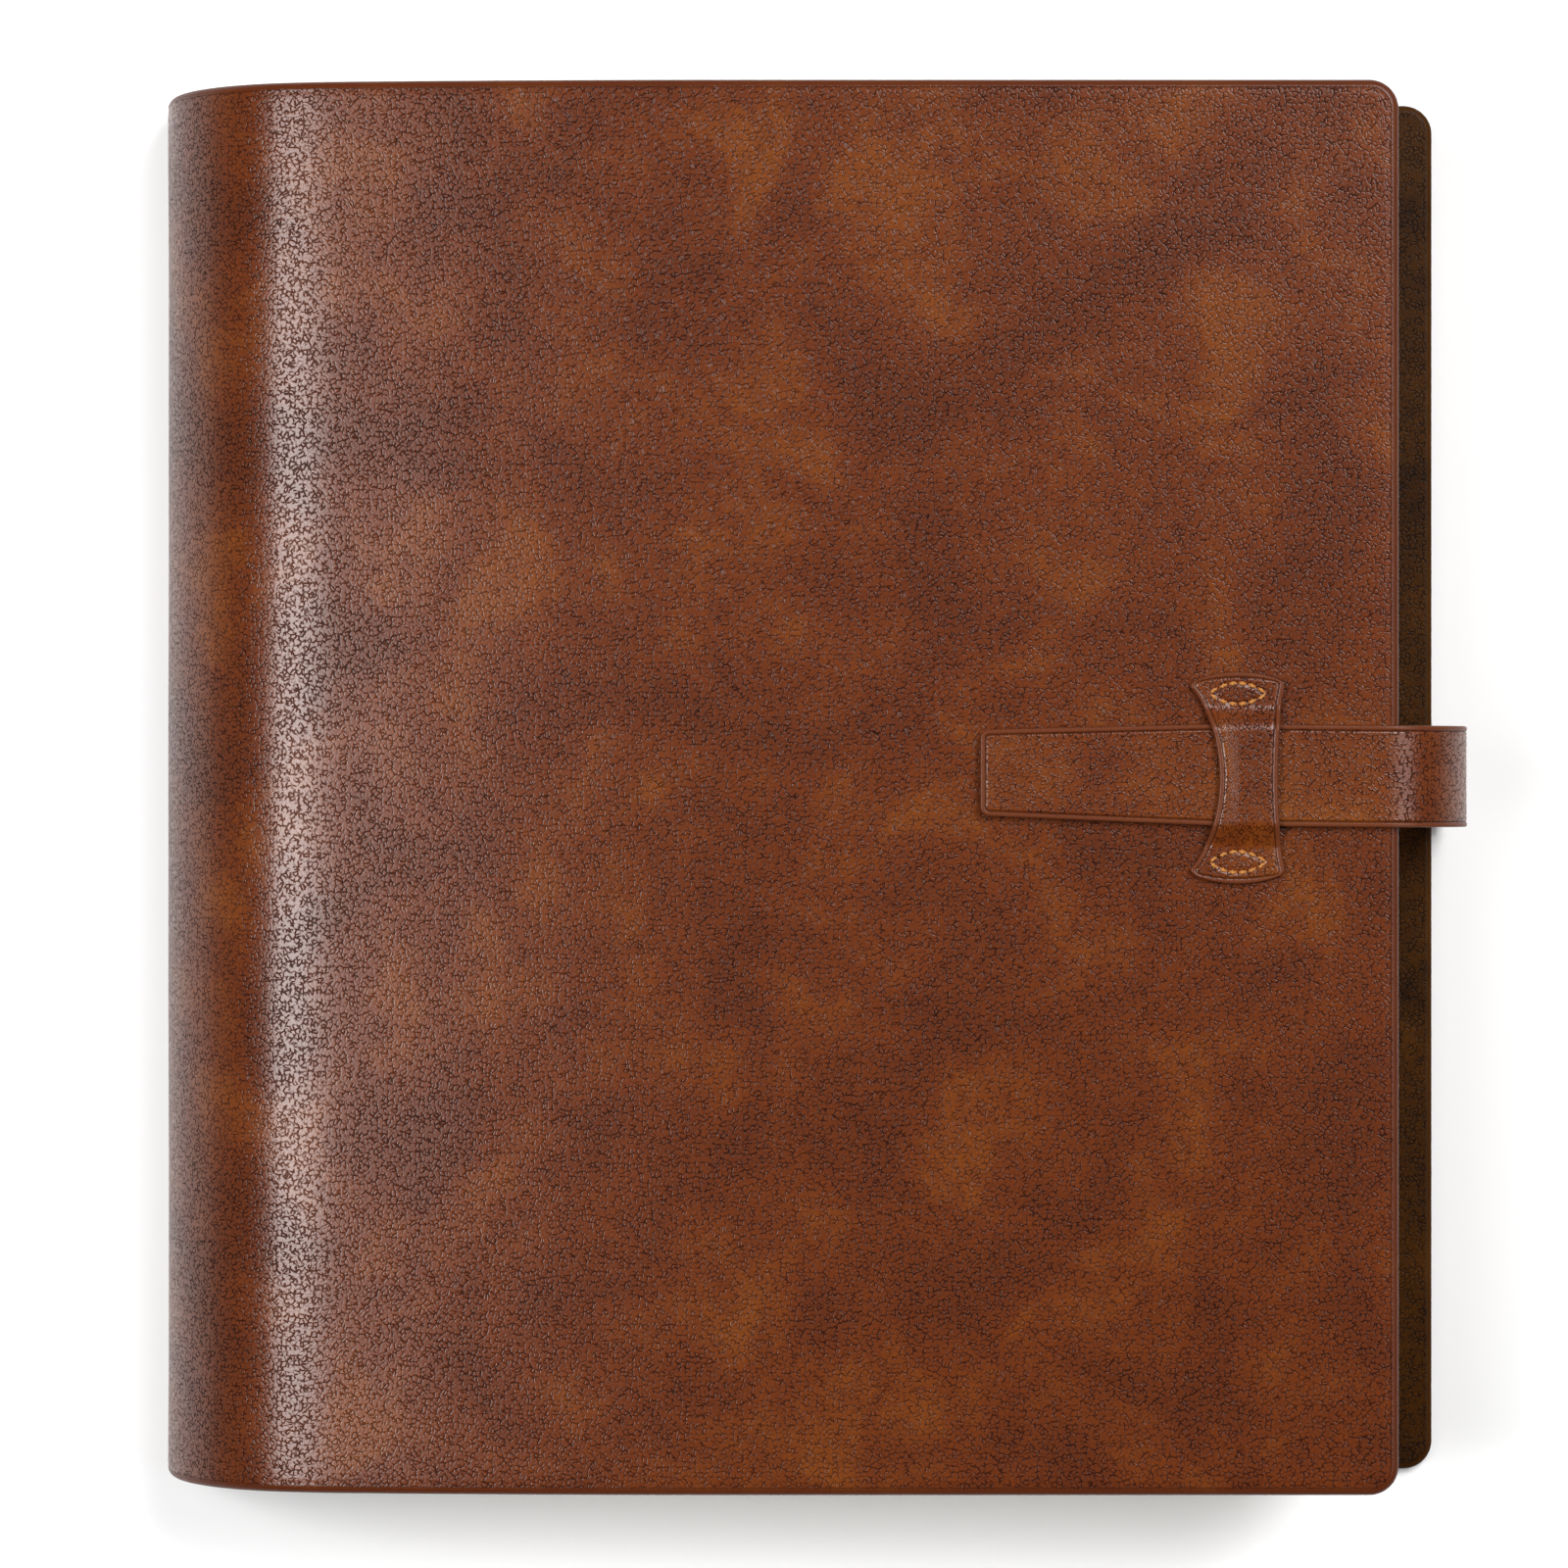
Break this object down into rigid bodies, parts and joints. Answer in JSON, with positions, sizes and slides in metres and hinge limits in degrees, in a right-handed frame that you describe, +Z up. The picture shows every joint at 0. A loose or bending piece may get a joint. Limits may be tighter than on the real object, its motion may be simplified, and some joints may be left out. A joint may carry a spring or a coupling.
{
  "type": "ring album",
  "caption": "Soft leather ring album with a rounded spine, punched card leaves and a strap that closes under a sewn keeper.",
  "frame": {"origin": "on the floor under the middle of the closed album and its strap", "axes": "+X from the spine to the fore edge, +Y from tail to head, +Z up through the front cover"},
  "size_m": [0.2795, 0.298, 0.0556],
  "materials": {
    "cover_leather": "waxed pull-up grain",
    "strap_leather": "waxed pull-up grain, creased edges",
    "lining": "plain matt lining",
    "cover_board": "pressed grey board",
    "thread": "twisted waxed thread",
    "leaf_card": "uncoated card",
    "nickel_plated_steel": "bright nickel plate"
  },
  "bodies": {
    "back_cover": {"back_leather": "cover_leather", "back_board": "cover_board", "back_lining": "lining", "strap_tail": "strap_leather", "mechanism_plate": "nickel_plated_steel", "mounting_rivets": "nickel_plated_steel", "lever_pins": "nickel_plated_steel", "leaf_stack": "leaf_card"},
    "spine_wall": {"spine_wall_leather": "cover_leather", "spine_wall_lining": "lining"},
    "shoulder_1": {"shoulder_1_leather": "cover_leather", "shoulder_1_lining": "lining"},
    "shoulder_2": {"shoulder_2_leather": "cover_leather", "shoulder_2_lining": "lining"},
    "shoulder_3": {"shoulder_3_leather": "cover_leather", "shoulder_3_lining": "lining"},
    "front_cover": {"front_leather": "cover_leather", "front_board": "cover_board", "front_lining": "lining", "keeper": "strap_leather", "stitches_head": "thread", "stitches_tail": "thread"},
    "strap_riser": {"strap_riser": "strap_leather"},
    "strap_bend_lower": {"strap_bend_lower": "strap_leather"},
    "strap_bend_upper": {"strap_bend_upper": "strap_leather"},
    "strap_tongue": {"strap_tongue": "strap_leather"},
    "leaf_1": {"leaf_1": "leaf_card"},
    "leaf_2": {"leaf_2": "leaf_card"},
    "leaf_3": {"leaf_3": "leaf_card"},
    "blade_left": {"blade_left": "nickel_plated_steel", "ring_1_left": "nickel_plated_steel", "ring_2_left": "nickel_plated_steel", "ring_3_left": "nickel_plated_steel"},
    "blade_right": {"blade_right": "nickel_plated_steel", "ring_1_right": "nickel_plated_steel", "ring_2_right": "nickel_plated_steel", "ring_3_right": "nickel_plated_steel"},
    "lever_head": {"lever_head": "nickel_plated_steel"},
    "lever_tail": {"lever_tail": "nickel_plated_steel"}
  },
  "joints": [
    {"name": "cover_open", "type": "hinge", "parent": "back_cover", "child": "spine_wall", "pos_m": [-0.13975, 0, 0.0013], "axis": [0, -1, 0], "range_deg": [0, 97]},
    {"name": "spine_fold_1", "type": "hinge", "parent": "spine_wall", "child": "shoulder_1", "pos_m": [-0.13754, 0, 0.02121], "axis": [0, -1, 0], "range_deg": [0, 22.52]},
    {"name": "spine_fold_2", "type": "hinge", "parent": "shoulder_1", "child": "shoulder_2", "pos_m": [-0.12817, 0, 0.03696], "axis": [0, -1, 0], "range_deg": [0, 29.2]},
    {"name": "spine_fold_3", "type": "hinge", "parent": "shoulder_2", "child": "shoulder_3", "pos_m": [-0.11225, 0, 0.04606], "axis": [0, -1, 0], "range_deg": [0, 19.55]},
    {"name": "spine_fold_4", "type": "hinge", "parent": "shoulder_3", "child": "front_cover", "pos_m": [-0.09938, 0, 0.04833], "axis": [0, -1, 0], "range_deg": [0, 9.9]},
    {"name": "leaf_turn_1", "type": "hinge", "parent": "back_cover", "child": "leaf_1", "pos_m": [-0.09975, 0, 0.02452], "axis": [0, -1, 0], "range_deg": [0, 178.16]},
    {"name": "leaf_turn_2", "type": "hinge", "parent": "back_cover", "child": "leaf_2", "pos_m": [-0.09975, 0, 0.02452], "axis": [0, -1, 0], "range_deg": [0, 177.47]},
    {"name": "leaf_turn_3", "type": "hinge", "parent": "back_cover", "child": "leaf_3", "pos_m": [-0.09975, 0, 0.02452], "axis": [0, -1, 0], "range_deg": [0, 176.78]},
    {"name": "strap_unbend_foot", "type": "hinge", "parent": "back_cover", "child": "strap_riser", "pos_m": [0.13745, 0, 0.0025], "axis": [0, 1, 0], "range_deg": [0, 90], "deforming": ["strap_riser"]},
    {"name": "strap_unbend_low", "type": "hinge", "parent": "strap_riser", "child": "strap_bend_lower", "pos_m": [0.13905, 0, 0.0343], "axis": [0, 1, 0], "range_deg": [0, 22.5], "deforming": ["strap_bend_lower"]},
    {"name": "strap_unbend_middle", "type": "hinge", "parent": "strap_bend_lower", "child": "strap_bend_upper", "pos_m": [0.13348, 0, 0.04773], "axis": [0, 1, 0], "range_deg": [0, 45], "deforming": ["strap_bend_upper"]},
    {"name": "strap_unbend_top", "type": "hinge", "parent": "strap_bend_upper", "child": "strap_tongue", "pos_m": [0.12005, 0, 0.0533], "axis": [0, 1, 0], "range_deg": [0, 22.5], "deforming": ["strap_tongue"]},
    {"name": "ring_open", "type": "hinge", "parent": "back_cover", "child": "blade_right", "pos_m": [-0.08995, 0, 0.0044], "axis": [0, 1, 0], "range_deg": [0, 6]},
    {"name": "blade_left_turn", "type": "hinge", "parent": "back_cover", "child": "blade_left", "pos_m": [-0.10955, 0, 0.0044], "axis": [0, -1, 0], "range_deg": [0, 6]},
    {"name": "lever_head_turn", "type": "hinge", "parent": "back_cover", "child": "lever_head", "pos_m": [-0.09975, 0.137, 0.0068], "axis": [-1, 0, 0], "range_deg": [0, 20]},
    {"name": "lever_tail_turn", "type": "hinge", "parent": "back_cover", "child": "lever_tail", "pos_m": [-0.09975, -0.137, 0.0068], "axis": [1, 0, 0], "range_deg": [0, 20]}
  ],
  "couplings": [
    {"joint": "spine_fold_1", "follows": "cover_open", "ratio": 0.23214},
    {"joint": "spine_fold_2", "follows": "cover_open", "ratio": 0.30102},
    {"joint": "spine_fold_3", "follows": "cover_open", "ratio": 0.20153},
    {"joint": "spine_fold_4", "follows": "cover_open", "ratio": 0.10204},
    {"joint": "leaf_turn_1", "follows": "cover_open", "ratio": 1.8367},
    {"joint": "leaf_turn_2", "follows": "cover_open", "ratio": 1.8296},
    {"joint": "leaf_turn_3", "follows": "cover_open", "ratio": 1.8224},
    {"joint": "strap_unbend_foot", "follows": "cover_open", "ratio": 0.92783},
    {"joint": "strap_unbend_low", "follows": "cover_open", "ratio": 0.23196},
    {"joint": "strap_unbend_middle", "follows": "cover_open", "ratio": 0.46392},
    {"joint": "strap_unbend_top", "follows": "cover_open", "ratio": 0.23196},
    {"joint": "blade_left_turn", "follows": "ring_open", "ratio": 1},
    {"joint": "lever_head_turn", "follows": "ring_open", "ratio": 3.3333},
    {"joint": "lever_tail_turn", "follows": "ring_open", "ratio": 3.3333}
  ]
}
